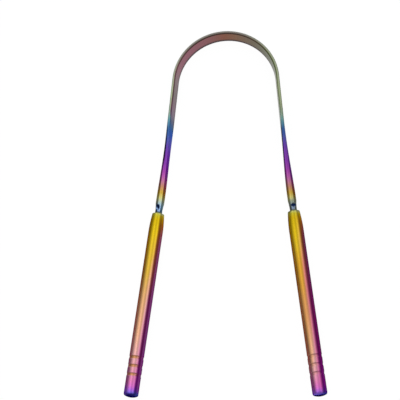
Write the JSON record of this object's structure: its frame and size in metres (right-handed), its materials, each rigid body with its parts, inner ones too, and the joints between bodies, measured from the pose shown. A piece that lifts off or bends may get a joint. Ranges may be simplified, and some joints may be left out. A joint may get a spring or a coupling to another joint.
{
  "type": "tongue scraper",
  "caption": "U-shaped sprung steel tongue scraper: a flat band bent on a semicircle, tapering into round arms with slim cylindrical handles; rainbow metallic finish.",
  "frame": {"origin": "under the middle of the scraper's box, level with the band's lower edge", "axes": "+Z square to the plane of the U, +Y from the handles towards the arc, +X from the left handle towards the right one; the scraper mirrors across X = 0"},
  "size_m": [0.079, 0.15, 0.007],
  "materials": {
    "bow_film": "rainbow film, polished, from olive and violet through blue, magenta and gold",
    "handle_film": "rainbow film, finely brushed lengthwise, from yellow through peach and pink to orchid",
    "tip_film": "rainbow film, violet to dark blue",
    "bush_steel": "plain turned steel"
  },
  "bodies": {
    "root": {"scraper_bow": "bow_film", "left_handle_tube": "handle_film", "right_handle_tube": "handle_film", "left_end_plug": "tip_film", "right_end_plug": "tip_film", "left_neck_bush": "bush_steel", "right_neck_bush": "bush_steel"}
  },
  "joints": []
}
